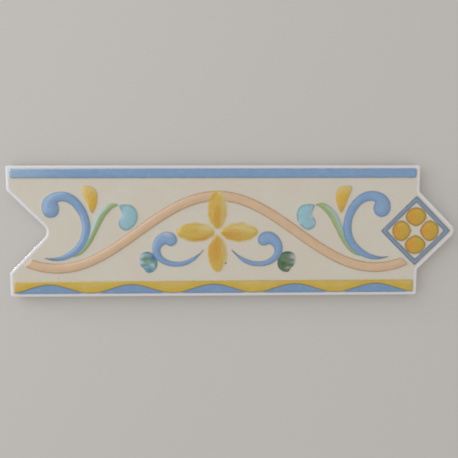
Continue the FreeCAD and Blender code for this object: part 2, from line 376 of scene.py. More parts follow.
def tile_outline():
    """The tile's outline with the V notch on its left and the point on its right."""
    right = tile_length / 2
    top = tile_width / 2
    corners = [
        (right, -top, corner_radius),
        (right, -point_half_width, shoulder_radius),
        (right + point_half_width, 0.0, tip_radius),
        (right, point_half_width, shoulder_radius),
        (right, top, corner_radius),
        (-right, top, corner_radius),
        (-right, notch_half_width, mouth_radius),
        (-right + notch_half_width, 0.0, root_radius),
        (-right, -notch_half_width, mouth_radius),
        (-right, -top, corner_radius),
    ]
    return rounded_outline(corners)


def travel(path):
    """Distance along a path up to each of its points."""
    return np.concatenate([[0.0], np.cumsum(np.linalg.norm(np.diff(path, axis=0), axis=1))])


def smooth_line(rows):
    """Points of a natural cubic spline through rows of any number of values, spaced by their x and y."""
    p = np.array(rows, float)
    count = len(p)
    chord = travel(p[:, :2])
    gap = np.diff(chord)
    matrix = np.eye(count)
    right = np.zeros_like(p)
    for i in range(1, count - 1):
        matrix[i, i - 1 : i + 2] = gap[i - 1], 2 * (gap[i - 1] + gap[i]), gap[i]
        right[i] = 6 * ((p[i + 1] - p[i]) / gap[i] - (p[i] - p[i - 1]) / gap[i - 1])
    bend = np.linalg.solve(matrix, right)
    s = np.linspace(0, chord[-1], max(8, int(chord[-1] / stroke_step)))
    k = np.clip(np.searchsorted(chord, s, side="right") - 1, 0, count - 2)
    a = (chord[k + 1] - s)[:, None]
    b = (s - chord[k])[:, None]
    g = gap[k][:, None]
    cubic = (bend[k] * a**3 + bend[k + 1] * b**3) / (6 * g)
    return cubic + (p[k] / g - bend[k] * g / 6) * a + (p[k + 1] / g - bend[k + 1] * g / 6) * b


def closed_line(points):
    """Points of a smooth closed curve (Catmull-Rom) through the given points."""
    p = np.array(points, float)
    before, after, next_after = np.roll(p, 1, 0), np.roll(p, -1, 0), np.roll(p, -2, 0)
    parts = []
    for t in np.arange(curve_pieces) / curve_pieces:
        square = (2 * before - 5 * p + 4 * after - next_after) * t**2
        cubic = (3 * p - before - 3 * after + next_after) * t**3
        parts.append(0.5 * (2 * p + (after - before) * t + square + cubic))
    return np.stack(parts, 1).reshape(-1, 2)


def crown(width):
    """Height of a rounded stroke of this width."""
    return relief_height * np.tanh(crown_ratio * width / relief_height)


def soft_max(a, b, softness):
    """The larger of a and b, rounded off where they are nearly the same."""
    return (a + b + np.sqrt((a - b) ** 2 + softness**2)) / 2


def soft_min(a, b, softness):
    """The smaller of a and b, rounded off where they are nearly the same."""
    return (a + b - np.sqrt((a - b) ** 2 + softness**2)) / 2


def ease(low, high, value):
    """Smooth step from 0 at low to 1 at high."""
    share = np.clip((value - low) / (high - low), 0, 1)
    return share * share * (3 - 2 * share)


def mix(a, b, share):
    """Colour between a and b, for an array of shares."""
    share = np.clip(share, 0, 1)[..., None]
    return a * (1 - share) + b * share


def dab(p, x, y, reach_x, reach_y, turn=0):
    """Strength of a soft oval brush dab at each point."""
    c, s = math.cos(math.radians(turn)), math.sin(math.radians(turn))
    dx, dy = p[:, 0] - x, p[:, 1] - y
    return np.exp(-(((c * dx + s * dy) / reach_x) ** 2) - ((c * dy - s * dx) / reach_y) ** 2)


def dabs(p, rows):
    """Strengths of several dabs added up, each a row of a dab's values and its strength."""
    return sum(strength * dab(p, *values) for *values, strength in rows)


def ragged(p):
    """How far a loosely painted edge strays at each point."""
    x, y = p.T
    return 0.16 * np.sin(0.9 * x + 0.4 * y) + 0.12 * np.sin(1.3 * y - 0.6 * x + 2)


def crosses(points, a, b):
    """Which points have the edge from a to b straight to their right."""
    beside = (a[1] > points[:, 1]) != (b[1] > points[:, 1])
    if not beside.any():
        return beside
    return beside & (points[:, 0] < a[0] + (points[:, 1] - a[1]) * (b[0] - a[0]) / (b[1] - a[1]))


def contains(points, loop):
    """Which points lie inside the loop."""
    inside = np.zeros(len(points), bool)
    for a, b in zip(loop, np.roll(loop, -1, 0)):
        inside ^= crosses(points, a, b)
    return inside


def depth_inside(points, loop):
    """Distance inside the loop, negative outside."""
    best = np.full(len(points), np.inf)
    inside = np.zeros(len(points), bool)
    for a, b in zip(loop, np.roll(loop, -1, 0)):
        step = b - a
        t = np.clip((points - a) @ step / (step @ step), 0, 1)
        offset = points - a - t[:, None] * step
        best = np.minimum(best, np.hypot(offset[:, 0], offset[:, 1]))
        inside ^= crosses(points, a, b)
    return np.where(inside, best, -best)


class Surface:
    """The face over a set of points: how high it is and how it is painted.

    For each point, lift is the height of the relief over the ground, near the distance to the nearest form
    and edge the distance to the form that is painted there, both negative inside. Line is the strength of
    that form's edge line, run and span are the place along and across its brush strokes, and wave is the
    distance above the wavy line.
    """

    def __init__(self, points):
        self.points = points
        count = len(points)
        self.everywhere = np.arange(count)
        self.lift = np.full(count, NO_FORM)
        self.edge = np.full(count, FAR)
        self.near = np.full(count, FAR)
        self.wave = np.full(count, FAR)
        self.paint = np.repeat(IVORY[None], count, 0)
        self.line = np.zeros(count)
        self.run = np.zeros(count)
        self.span = np.zeros(count)

    def within(self, low, high):
        """Numbers of the points in the box from low to high."""
        return np.nonzero(((self.points > low) & (self.points < high)).all(1))[0]

    def raise_to(self, where, height):
        """Joins a form to the relief, with a soft seam where they meet."""
        self.lift[where] = soft_max(self.lift[where], height, seam_softness)

    def paint_over(self, where, edge, colour, line, run, span, on_top=False):
        """Paints a form: over what is there where on_top, else only where it is nearer than what is there.

        A form with no line is loosely painted: its edge is ragged and fades into what lies below it.
        """
        old = self.edge[where]
        take = edge < old
        lines = np.full(len(where), line)
        if on_top:
            take |= edge < 0
        if line == 0:
            stray = ragged(self.points[where])
            below = ease(0.3, -0.5, old)
            take |= edge < loose_reach
            fade = below * ease(-0.7, 1.0, edge + stray)
            colour = mix(colour, self.paint[where], fade)
            lines = 0.35 * fade
            edge = edge + stray - loose_overlap * below
        chosen = where[take]
        self.edge[chosen] = np.minimum(edge, old)[take]
        self.paint[chosen] = colour[take]
        self.line[chosen] = lines[take]
        self.run[chosen] = run[take]
        self.span[chosen] = span[take]

    def stroke(self, rows, paint, line, on_top=False, limits=None):
        """Adds a rounded, painted stroke through (x, y, width) rows, with round ends."""
        path = smooth_line(rows)
        lengths = travel(path[:, :2])
        to_end = np.minimum(lengths, lengths[-1] - lengths)
        radii = np.maximum(np.minimum(path[:, 2] / 2, to_end), thinnest_radius)
        reach = radii.max() + form_reach
        where = self.within(path[:, :2].min(0) - reach, path[:, :2].max(0) + reach)
        if len(where) == 0:
            return
        p = self.points[where]
        edge = np.full(len(p), np.inf)
        radius = np.ones(len(p))
        side = np.zeros(len(p))
        along = np.zeros(len(p))
        for i in range(len(path) - 1):
            start = path[i, :2]
            step = path[i + 1, :2] - start
            length = np.linalg.norm(step)
            growth = (radii[i + 1] - radii[i]) / length
            growth = max(-steepest_taper, min(steepest_taper, growth))
            offset = p - start
            forward = offset @ step / length
            sideways = (step[0] * offset[:, 1] - step[1] * offset[:, 0]) / length
            t = np.clip((forward + np.abs(sideways) * growth / math.sqrt(1 - growth**2)) / length, 0, 1)
            r = radii[i] + t * (radii[i + 1] - radii[i])
            away = np.hypot(forward - t * length, sideways) - r
            take = away < edge
            edge[take] = away[take]
            radius[take] = r[take]
            side[take] = np.sign(sideways[take])
            along[take] = lengths[i] + t[take] * length
        share = 1 + edge / radius
        height = np.maximum(crown(2 * radius) * (1 - share**2), NO_FORM)
        if limits is not None:
            cut = limits(p)
            edge = soft_max(edge, cut, cut_softness)
            height = soft_min(height, -cut_slope * cut, cut_height_softness)
        self.near[where] = np.minimum(self.near[where], edge)
        self.raise_to(where, height)
        across = side * np.clip(share, 0, 1.3)
        colour = paint(along / lengths[-1], across, p)
        self.paint_over(where, edge, colour, line, along, across * radius, on_top)

    def patch(self, outline, paint, height, line, groove=None):
        """Adds a rounded, painted form inside a closed outline: a soft cushion over its whole width."""
        loop = closed_line(outline)
        low = loop.min(0) - 2 * cushion_grid
        high = loop.max(0) + 2 * cushion_grid
        where = self.within(low - form_reach, high + form_reach)
        if len(where) == 0:
            return

        # The cushion's height on a grid, like a skin blown up over the outline
        columns, rows = np.ceil((high - low) / cushion_grid).astype(int) + 1
        xs = low[0] + cushion_grid * np.arange(columns)
        ys = low[1] + cushion_grid * np.arange(rows)
        grid = np.stack([axis.ravel() for axis in np.meshgrid(xs, ys)], 1)
        inside = contains(grid, loop).reshape(rows, columns)
        swell = np.zeros((rows, columns))
        for _ in range(cushion_rounds):
            around = swell[:-2, 1:-1] + swell[2:, 1:-1] + swell[1:-1, :-2] + swell[1:-1, 2:]
            swell[1:-1, 1:-1] = np.where(inside[1:-1, 1:-1], around / 4 + 1, 0)
        swell /= swell.max()

        p = self.points[where]
        edge = -depth_inside(p, loop)
        cell = np.clip((p - low) / cushion_grid, 0, np.array([columns, rows]) - 1.001)
        i, j = np.floor(cell).astype(int).T
        s, t = (cell - np.floor(cell)).T
        lower = swell[j, i] * (1 - s) + swell[j, i + 1] * s
        upper = swell[j + 1, i] * (1 - s) + swell[j + 1, i + 1] * s
        share = lower * (1 - t) + upper * t
        rise = height * share**cushion_power
        if groove is not None:
            rise = rise * groove(p)
        rise = np.where(edge < 0.1, rise, np.maximum(-0.5 * edge, NO_FORM))
        self.near[where] = np.minimum(self.near[where], edge)
        self.raise_to(where, rise)
        self.paint_over(where, edge, paint(share, p), line, 4 * p[:, 1], 0.8 * p[:, 0])


def scroll_paint(along, across, p):
    """Blue, paler in the middle of the curl, deeper at both edges, with a dark thin tail."""
    body = mix(BLUE, PALE_BLUE, 0.5 * (1 - np.abs(across)) * ease(0.55, 1.0, along))
    body = mix(body, DEEP_BLUE, 0.6 * ease(0.6, 1.0, np.abs(across)))
    body = mix(body, WORN_BLUE, dabs(p, SCROLL_WEAR))
    return mix(body, TIP_BLUE, 0.8 * ease(0.16, 0.02, along))


def vine_paint(along, across, p):
    """Peach, burnt at both edges."""
    return mix(PEACH, BURNT_PEACH, ease(0.68, 1.0, np.abs(across)))


def leaf_paint(along, across, p):
    """Green, pale blue on the upper part of its outer side and darker on its inner side."""
    outer = across * np.sign(p[:, 0] - ornament_axis_x)
    pale = ease(-0.15, 0.25, outer) * ease(0.08, 0.2, along) * (1 - ease(0.5, 0.72, along))
    body = mix(GREEN, PALE_LEAF, pale)
    return mix(body, DARK_LEAF, 0.45 * ease(0.55, 1.0, -outer))


def drop_paint(share, p):
    """Ochre at the foot of the yellow drop, gold above and paler at its top."""
    body = mix(OCHRE, GOLD, 0.4 + 0.6 * ease(12.0, 18.0, p[:, 1]))
    return mix(body, PALE_YELLOW, 0.6 * ease(20.0, 28.0, p[:, 1] + 1.5 * (1 - share)))


def aqua_paint(share, p):
    """Turquoise, deeper at the edge, with pale patches on the right drop that are partly worn paint and
    partly painted glints of light.
    """
    body = mix(DEEP_AQUA, AQUA, 0.35 + ease(0.1, 0.7, share))
    # Pale patches: worn paint together with painted glints of light
    return mix(body, WORN_AND_GLINT_AQUA, dabs(p, AQUA_WEAR_AND_GLINTS))


def flower_paint(quarter):
    """Loose brushwork of one flower petal, each with its own deep and faded parts."""
    deep, faded = FLOWER_DABS[quarter]

    def paint(along, across, p):
        spot = np.stack([along, across], 1)
        body = mix(YELLOW, OCHRE, 0.1 + 0.9 * dab(spot, *deep))
        return mix(body, PALE_YELLOW, 0.8 * dab(spot, *faded))

    return paint


def frame_petal_paint(middle):
    """Paint of one petal in the frame: orange on its left, olive yellow on its right, darker at its edge, and
    a painted highlight of paler gold on its upper part.
    """

    def paint(share, p):
        body = mix(PETAL_YELLOW, PETAL_ORANGE, dabs(p - middle, PETAL_ORANGE_DABS))
        # Paler gold on the petal's upper part: a painted highlight
        body = mix(body, GOLD, dabs(p - middle, PETAL_HIGHLIGHT_DABS))
        return mix(body, RUST, 0.8 * ease(0.55, 0.0, share))

    return paint


def bud_place(p, side):
    """Place within a bud, x outwards."""
    return side * (p[:, 0] - ornament_axis_x) - BUD_MIDDLE[0], p[:, 1] - BUD_MIDDLE[1]


def bud_paint(side, base, rows):
    """Many-coloured brush dabs of one bud, each over the ones before."""

    def paint(share, p):
        place = np.stack(bud_place(p, side), 1)
        body = np.repeat(base[None], len(p), 0)
        for *values, colour in rows:
            body = mix(body, tint(*colour), bud_dab_strength * dab(place, *values))
        return body

    return paint


def bud_groove(side):
    """Height left by the two grooves between a bud's three lobes, as a share."""

    def groove(p):
        u, v = bud_place(p, side)
        upper = np.exp(-(((v - 2.2 + 0.05 * u * u) / 0.7) ** 2)) * ease(-3.4, -1.6, u)
        lower = np.exp(-(((v + 0.8 + 0.4 * (u + 2.2)) / 0.7) ** 2)) * ease(-3.8, -2.2, u)
        return 1 - bud_groove_depth * np.maximum(upper, lower)

    return groove


def vine_limits(p):
    """How far outside the vine's slanted ends each point is, negative inside."""
    notch_x = -tile_length / 2 + notch_half_width + vine_notch_gap * math.sqrt(2)
    frame_x = frame_centre_x - frame_half_diagonal - vine_frame_gap / math.sqrt(2)
    below_notch = (notch_x + p[:, 1] - p[:, 0]) / math.sqrt(2)
    above_frame = (p[:, 0] - frame_x + p[:, 1]) / math.sqrt(2)
    return np.where(p[:, 0] > 0, above_frame, below_notch)


def wave_above(p):
    """Distance above the wavy line in the lower strip."""
    middle = -tile_width / 2 + wave_middle_from_edge
    turn = 2 * math.pi / wave_length
    y = middle + wave_amplitude * np.cos(turn * (p[:, 0] - wave_shift))
    slope = -wave_amplitude * turn * np.sin(turn * (p[:, 0] - wave_shift))
    return (p[:, 1] - y) / np.sqrt(1 + slope**2)


def mirrored(rows, side):
    """Rows that start with the distance from the mirror axis, placed right (1) or left (-1) of it."""
    return [(ornament_axis_x + side * distance, *rest) for distance, *rest in rows]


def add_vine(face):
    """The wavy band between the notch and the square frame."""
    xs = np.linspace(-tile_length / 2, frame_centre_x, 60)
    ys = vine_middle_y + vine_amplitude * np.cos(math.pi * (xs - ornament_axis_x) / vine_half_wave)
    face.stroke([(x, y, vine_width) for x, y in zip(xs, ys)], vine_paint, vine_line, limits=vine_limits)


def add_buds_and_drops(face):
    """A bud, a yellow drop and a turquoise drop on each side of the mirror axis."""
    bud = [(BUD_MIDDLE[0] + u, BUD_MIDDLE[1] + v) for u, v in BUD]
    colours = {1: (RIGHT_BUD_BASE, RIGHT_BUD_DABS), -1: (LEFT_BUD_BASE, LEFT_BUD_DABS)}
    for side in (1, -1):
        paint = bud_paint(side, *colours[side])
        face.patch(mirrored(bud, side), paint, bud_height, bud_line, bud_groove(side))
        for outline, paint in ((YELLOW_DROP, drop_paint), (AQUA_DROP, aqua_paint)):
            face.patch(mirrored(outline, side), paint, drop_height, drop_line)


def add_petals(face):
    """The four petals of the flower on the vine, and the four in the square frame."""
    for quarter, (c, s) in enumerate(((1, 0), (0, 1), (-1, 0), (0, -1))):
        petal = BLUNT_PETAL if quarter == 1 else FLOWER_PETAL
        rows = [(ornament_axis_x + c * r, flower_centre_y + s * r, width) for r, width in petal]
        face.stroke(rows, flower_paint(quarter), loose_line, True)
        petal = [(frame_petal_start + along, across) for along, across in FRAME_PETAL]
        petal = [(frame_centre_x + c * u - s * v, s * u + c * v) for u, v in petal]
        face.patch(petal, frame_petal_paint(np.mean(petal, 0)), frame_petal_height, frame_line)


def add_square_frame(face):
    """The bar round the framed petals, with barely rounded corners."""
    x, y = face.points.T
    a = np.abs(x - frame_centre_x + y) / math.sqrt(2)
    b = np.abs(y - x + frame_centre_x) / math.sqrt(2)
    half_side = frame_half_diagonal / math.sqrt(2) - frame_bar_width / 2
    ring = soft_max(a, b, frame_corner_softness) - half_side
    across = np.abs(ring)
    edge = across - frame_bar_width / 2
    height = crown(frame_bar_width) * (1 - (across / (frame_bar_width / 2)) ** 2)
    face.near = np.minimum(face.near, edge)
    face.raise_to(face.everywhere, np.maximum(height, NO_FORM))
    # Paler along the bar's middle and darker towards its edges: a painted highlight on its crown and painted
    # shade down its sides
    shade = mix(LIT_FRAME_BLUE, SHADED_FRAME_BLUE, 0.25 + 0.75 * ease(0.2, 1.3, across))
    face.paint_over(face.everywhere, edge, shade, frame_line, x + y, ring)


def strip_edge(p, y_low, y_high):
    """Distance to a strip with rounded corners along one long edge, negative inside."""
    x_end = tile_length / 2 - strip_end_margin
    middle = np.array([0.0, (y_low + y_high) / 2])
    half = np.array([x_end, (y_high - y_low) / 2]) - strip_end_radius
    q = np.abs(p - middle) - half
    outside = np.hypot(*np.maximum(q, 0).T)
    return outside + np.minimum(q.max(1), 0) - strip_end_radius


def strip_rise(edge, height):
    """Height of a strip at a distance from its edge, with a soft slope down."""
    sloping = height * (1 - 2 * ease(-strip_slope_reach, strip_slope_reach, edge))
    return np.where(edge < strip_foot_reach, sloping, NO_FORM)


def add_plain_strip(face):
    """The blue strip along the upper long edge, paler at its left end."""
    x, y = face.points.T
    y_high = tile_width / 2 - edge_margin
    edge = strip_edge(face.points, y_high - strip_width, y_high)
    face.near = np.minimum(face.near, np.where(edge < -flat_inside, FAR, edge))
    face.raise_to(face.everywhere, strip_rise(edge, strip_height))
    shade = mix(BLUE, PALE_BLUE, 0.9 * ease(-85.0, -122.0, x))
    face.paint_over(face.everywhere, edge, shade, plain_strip_line, x, y - y_high)


def add_wavy_strip(face):
    """The strip along the lower long edge: yellow above its wavy line, blue lobes with white tips below."""
    x, y = face.points.T
    y_low = -tile_width / 2 + edge_margin
    edge = strip_edge(face.points, y_low, y_low + wave_strip_width)
    above = wave_above(face.points)
    plain = (edge < -flat_inside) & (np.abs(above) > wave_fine_reach)
    face.near = np.minimum(face.near, np.where(plain, FAR, edge))
    share = ease(-wave_step_reach, wave_step_reach, above)
    tread = wave_base_height + (strip_height - wave_base_height) * share
    face.raise_to(face.everywhere, strip_rise(edge, tread))
    blue = mix(RIM_WHITE, mix(BLUE, DEEP_BLUE, 0.4), ease(0.5, 1.4, y - above - y_low))
    yellow = mix(STRIP_YELLOW, PALE_YELLOW, 0.3 * ease(0.5, 5.5, above))
    shade = mix(blue, yellow, ease(-0.3, 0.3, above))
    face.paint_over(face.everywhere, edge, shade, wavy_strip_line, x, y - y_low)
    face.wave = np.where(edge < 1.0, above, FAR)


def ornament(points):
    """The whole face over the points."""
    face = Surface(points)
    add_vine(face)
    for side in (1, -1):
        face.stroke(mirrored(LEAF, side), leaf_paint, leaf_line)
        face.stroke(mirrored(LARGE_SCROLL, side), scroll_paint, scroll_line, True)
    add_buds_and_drops(face)
    for side in (1, -1):
        face.stroke(mirrored(SMALL_SCROLL, side), scroll_paint, scroll_line, True)
    add_petals(face)
    add_square_frame(face)
    add_plain_strip(face)
    add_wavy_strip(face)
    return face


def lattice(outline):
    """Points over the face, close together on the relief and wide apart on the plain ground."""
    low = outline.min(0)
    high = outline.max(0)
    rows = int((high[1] - low[1]) / (lattice_step * math.sqrt(3) / 2))
    columns = int((high[0] - low[0]) / lattice_step)
    i, j = np.meshgrid(np.arange(columns), np.arange(rows))
    x = low[0] + lattice_step * (i + 0.5 * (j % 2))
    y = low[1] + lattice_step * math.sqrt(3) / 2 * j
    sparse = ((i % coarse_every == 0) & (j % coarse_every == 0)).ravel()
    points = np.stack([x.ravel(), y.ravel()], 1)
    keep = depth_inside(points, outline) > arris_width + rim_gap
    points, sparse = points[keep], sparse[keep]
    return points[(ornament(points).near < fine_reach) | sparse]


def triangulate(points, loops):
    """Triangles over the points that lie inside the first loop and outside the others."""
    edges = []
    for loop in loops:
        edges += [(loop[k], loop[(k + 1) % len(loop)]) for k in range(len(loop))]
    result = delaunay_2d_cdt([Vector(p) for p in points.tolist()], edges, [], 0, 1e-7, True)
    where = np.array([ids[0] for ids in result[3]])
    triangles = where[np.array(result[2])]
    middles = points[triangles].mean(1)
    inside = np.ones(len(triangles), bool)
    for k, loop in enumerate(loops):
        within = contains(middles, points[np.array(loop)])
        inside &= within if k == 0 else ~within
    return triangles[inside]


class Builder:
    """Collects the vertices and faces of one mesh."""

    def __init__(self):
        self.places = []
        self.faces = []
        self.slots = []
        self.count = 0

    def add(self, places):
        """Adds vertices and gives back their numbers."""
        self.places.append(np.asarray(places, float))
        first = self.count
        self.count += len(places)
        return np.arange(first, self.count)

    def face(self, corners, slot):
        """Adds a face of the material in this slot."""
        self.faces.append(tuple(int(c) for c in corners))
        self.slots.append(slot)

    def band(self, low, high, slot):
        """Quads between two closed rings of the same length, the outside on the left of low to high."""
        for k in range(len(low)):
            m = (k + 1) % len(low)
            self.face((low[k], low[m], high[m], high[k]), slot)

    def sheet(self, points, loops, ids, slot, facing):
        """Triangles inside the first loop and outside the others, facing up (1) or down (-1)."""
        for triangle in triangulate(points, loops):
            a, b, c = points[triangle]
            turn = (b[0] - a[0]) * (c[1] - a[1]) - (b[1] - a[1]) * (c[0] - a[0])
            if turn * facing < 0:
                triangle = triangle[::-1]
            self.face(ids[triangle], slot)


def glaze_line(outline):
    """Uneven height at which the glaze ends on the sides, for each point of the outline."""
    lengths = travel(outline)
    turns = lengths / lengths[-1] * 2 * math.pi
    line = np.full(len(outline), glaze_line_height)
    for rise, waves, shift in GLAZE_LINE_WAVES:
        line += rise * np.sin(waves * turns + shift)
    return line


def groove_loop(y_low, y_high, z):
    """Loop round one groove of the back, cut to the land that follows the outline."""
    ys = np.linspace(y_low, y_high, groove_points)
    slant = rim_land * math.sqrt(2)
    side = tile_length / 2 - rim_land
    root = -tile_length / 2 + notch_half_width + slant
    point = tile_length / 2 + point_half_width - slant
    blend = root_radius + rim_land
    lefts = np.maximum(-side, root - np.abs(ys))
    arc_centre = root - blend * math.sqrt(2)
    arc = arc_centre + np.sqrt(np.maximum(blend**2 - ys**2, 0))
    lefts = np.where(np.abs(ys) < blend / math.sqrt(2), arc, lefts)
    rights = np.where(np.abs(ys) < point - side, point - np.abs(ys), side)
    right = [(x, y, z) for x, y in zip(rights, ys)]
    left = [(x, y, z) for x, y in zip(lefts[::-1], ys[::-1])]
    return np.array(right + left)


def add_back(mesh, rim_points, rim_ids):
    """The flat back inside its rim, with the keying grooves."""
    points = [rim_points]
    ids = [rim_ids]
    loops = [list(range(len(rim_points)))]
    total = len(rim_points)
    row_count = int((tile_width / 2 - rim_land) / groove_pitch)
    half_mouth = groove_width / 2 + groove_flare
    for side in (-1, 1):
        for row in range(row_count):
            y = side * groove_pitch * (row + 0.5)
            mouth = groove_loop(y - half_mouth, y + half_mouth, 0.0)
            mouth_ids = mesh.add(mouth)
            floor_ids = mesh.add(groove_loop(y - groove_width / 2, y + groove_width / 2, groove_depth))
            mesh.band(floor_ids, mouth_ids, BARE)
            for k in range(groove_points - 1):
                right_pair = floor_ids[k + 1], floor_ids[k]
                left_pair = floor_ids[-1 - k], floor_ids[-2 - k]
                mesh.face(left_pair + right_pair, BARE)
            points.append(mouth[:, :2])
            ids.append(mouth_ids)
            loops.append(list(range(total, total + len(mouth))))
            total += len(mouth)
    mesh.sheet(np.concatenate(points), loops, np.concatenate(ids), BARE, -1)


def build_tile():
    """One closed mesh: relief face, arris, sides and keyed back."""
    outline, outward = tile_outline()
    count = len(outline)
    mesh = Builder()

    # Arris and sides, as rings from the back up to the face
    rings = []
    for inset, z in ((back_chamfer, 0.0), (0.0, back_chamfer)):
        rings.append((outline - outward * inset, np.full(count, z)))
    rings.append((outline, glaze_line(outline)))
    for angle in np.linspace(0, math.pi / 2, arris_steps):
        inset = arris_width * (1 - math.cos(angle))
        z = body_thickness - arris_drop * (1 - math.sin(angle))
        rings.append((outline - outward * inset, np.full(count, z)))
    ids = [mesh.add(np.column_stack([plan, z])) for plan, z in rings]
    for k in range(len(ids) - 1):
        mesh.band(ids[k], ids[k + 1], BARE if k < bare_bands else GLAZED)

    # Relief face inside the arris, with soft feet where the relief meets the ground
    rim = ids[-1]
    inner = lattice(outline)
    points = np.concatenate([rings[-1][0], inner])
    face = ornament(points)
    relief = soft_max(face.lift, 0.0, foot_softness) * np.clip(1.0 + face.lift, 0, 1)
    inner_ids = mesh.add(np.column_stack([inner, body_thickness + relief[count:]]))
    mesh.sheet(points, [list(range(count))], np.concatenate([rim, inner_ids]), GLAZED, 1)
    add_back(mesh, rings[0][0], ids[0])

    places = np.concatenate(mesh.places)
    # The CAD's mesh cuts the rounded tip a few microns short
    places[:, 0] = np.minimum(places[:, 0], cad_box[1][0] / MM)
    data = bpy.data.meshes.new("border_tile_visual")
    data.from_pydata((places * MM).tolist(), [], mesh.faces)
    data.polygons.foreach_set("material_index", mesh.slots)
    data.polygons.foreach_set("use_smooth", [slot == GLAZED for slot in mesh.slots])
    data.update()

    def attribute(name, values):
        """Stores a value for each vertex of the face and the arris, which takes the rim's values."""
        full = np.zeros(len(places))
        full[inner_ids] = values[count:]
        for ring in ids[bare_bands:]:
            full[ring] = values[:count]
        layer = data.attributes.new(name, "FLOAT", "POINT")
        layer.data.foreach_set("value", full.astype(np.float32))

    values = {"edge": face.edge, "line": face.line, "run": face.run, "span": face.span, "wave": face.wave}
    values["rim"] = depth_inside(points, outline)
    for name, stored in values.items():
        attribute(name, stored)
    colours = np.ones((len(places), 4))
    colours[:, :3] = IVORY
    colours[rim, :3] = face.paint[:count]
    colours[inner_ids, :3] = face.paint[count:]
    layer = data.color_attributes.new("paint", "FLOAT_COLOR", "POINT")
    layer.data.foreach_set("color", colours.astype(np.float32).ravel())

    tile = bpy.data.objects.new("tile_body", data)
    bpy.context.scene.collection.objects.link(tile)
    return tile


class Nodes:
    """A material with one shader, and short helpers to wire its nodes."""

    def __init__(self, name):
        self.material = bpy.data.materials.new(name)
        self.material.use_nodes = True
        self.tree = self.material.node_tree
        self.tree.nodes.clear()
        output = self.tree.nodes.new("ShaderNodeOutputMaterial")
        self.shader = self.tree.nodes.new("ShaderNodeBsdfPrincipled")
        self.link(self.shader.outputs[0], output.inputs["Surface"])

    def link(self, a, b):
        """Joins an output to an input."""
        self.tree.links.new(a, b)

    def put(self, socket, value):
        """Gives an input another node's output, a colour or a number."""
        if isinstance(value, bpy.types.NodeSocket):
            self.link(value, socket)
        elif socket.type == "RGBA":
            socket.default_value = (*value, 1.0)
        else:
            socket.default_value = value

    def shade(self, values):
        """Gives inputs of the shader their values."""
        for name, value in values.items():
            self.put(self.shader.inputs[name], value)

    def attribute(self, name, output="Fac"):
        """A value stored in the mesh."""
        node = self.tree.nodes.new("ShaderNodeAttribute")
        node.attribute_name = name
        return node.outputs[output]

    def math(self, operation, a, b=0.0):
        """One operation on a and b."""
        node = self.tree.nodes.new("ShaderNodeMath")
        node.operation = operation
        for socket, value in zip(node.inputs, (a, b)):
            self.put(socket, value)
        return node.outputs[0]

    def plus(self, a, b):
        return self.math("ADD", a, b)

    def minus(self, a, b):
        return self.math("SUBTRACT", a, b)

    def times(self, a, b):
        return self.math("MULTIPLY", a, b)

    def step(self, value, low, high, to_low=0.0, to_high=1.0):
        """Smooth step from to_low at low to to_high at high."""
        node = self.tree.nodes.new("ShaderNodeMapRange")
        node.interpolation_type = "SMOOTHSTEP"
        names = ("Value", "From Min", "From Max", "To Min", "To Max")
        for key, entry in zip(names, (value, low, high, to_low, to_high)):
            self.put(node.inputs[key], entry)
        return node.outputs[0]

    def blend(self, share, a, b, kind="MIX"):
        """Colour between a and b."""
        node = self.tree.nodes.new("ShaderNodeMix")
        node.data_type = "RGBA"
        node.blend_type = kind
        self.put(node.inputs["Factor"], share)
        colours = [socket for socket in node.inputs if socket.type == "RGBA"]
        for socket, value in zip(colours, (a, b)):
            self.put(socket, value)
        return next(s for s in node.outputs if s.type == "RGBA")

    def noise(self, vector, scale, detail, roughness=0.5):
        """Cloudy noise between 0 and 1."""
        node = self.tree.nodes.new("ShaderNodeTexNoise")
        node.inputs["Scale"].default_value = scale
        node.inputs["Detail"].default_value = detail
        node.inputs["Roughness"].default_value = roughness
        self.link(vector, node.inputs["Vector"])
        return node.outputs["Fac"]

    def place(self):
        """Place on the object, in metres."""
        return self.tree.nodes.new("ShaderNodeTexCoord").outputs["Object"]

    def vector(self, x, y):
        """A place made of two values."""
        node = self.tree.nodes.new("ShaderNodeCombineXYZ")
        for socket, value in zip(node.inputs, (x, y)):
            self.put(socket, value)
        return node.outputs[0]

    def bump(self, height, distance, strength):
        """Fine unevenness of the surface."""
        node = self.tree.nodes.new("ShaderNodeBump")
        node.inputs["Distance"].default_value = distance
        node.inputs["Strength"].default_value = strength
        self.link(height, node.inputs["Height"])
        return node.outputs[0]


def add_specks(net, colour, place, fine):
    """Small dark firing specks over the colour."""
    spread = net.tree.nodes.new("ShaderNodeSeparateXYZ")
    net.link(place, spread.inputs[0])
    for x, y, half, radius, strength in SPECKS:
        away_x = net.math("ABSOLUTE", net.minus(net.times(spread.outputs["X"], 1 / MM), x))
        away_x = net.math("MAXIMUM", net.minus(away_x, half), 0.0)
        away_y = net.minus(net.times(spread.outputs["Y"], 1 / MM), y)
        away = net.math("SQRT", net.plus(net.times(away_x, away_x), net.times(away_y, away_y)))
        spot = net.step(net.plus(away, net.times(fine, 0.3)), radius, radius + 0.4, 1.0, 0.0)
        colour = net.blend(net.times(spot, strength), colour, SPECK_BROWN)
    return colour


